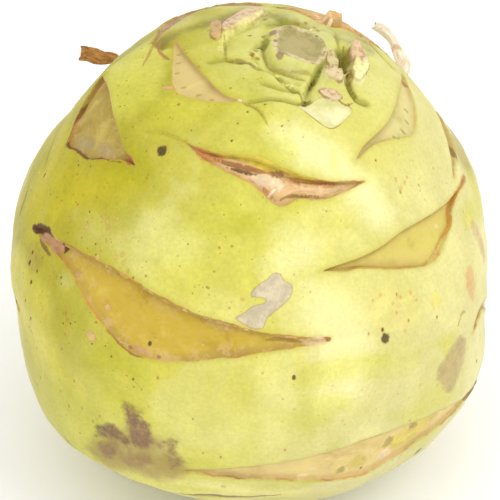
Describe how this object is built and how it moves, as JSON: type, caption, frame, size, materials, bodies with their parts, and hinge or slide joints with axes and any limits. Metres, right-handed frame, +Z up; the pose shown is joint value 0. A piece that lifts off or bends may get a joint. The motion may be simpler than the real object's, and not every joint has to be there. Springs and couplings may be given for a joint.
{
  "type": "kohlrabi",
  "caption": "Pale green kohlrabi: a swollen stem with wide leaf scars, a trimmed crown and dry leaf-stalk remains, standing on the flat end of its cut root.",
  "frame": {"origin": "centre of the flat end of the cut root, on the surface that the kohlrabi stands on", "axes": "+Z up through the swollen stem, -Y towards the side that the picture shows, +X to that side's right, the way the crown leans"},
  "size_m": [0.0989, 0.0998, 0.1006],
  "materials": {
    "skin": "waxy satin plant skin",
    "dry_stalk": "dry matt fibres"
  },
  "bodies": {
    "root": {"corm": "skin", "stalk_left": "dry_stalk", "stalk_right": "dry_stalk"}
  },
  "joints": []
}
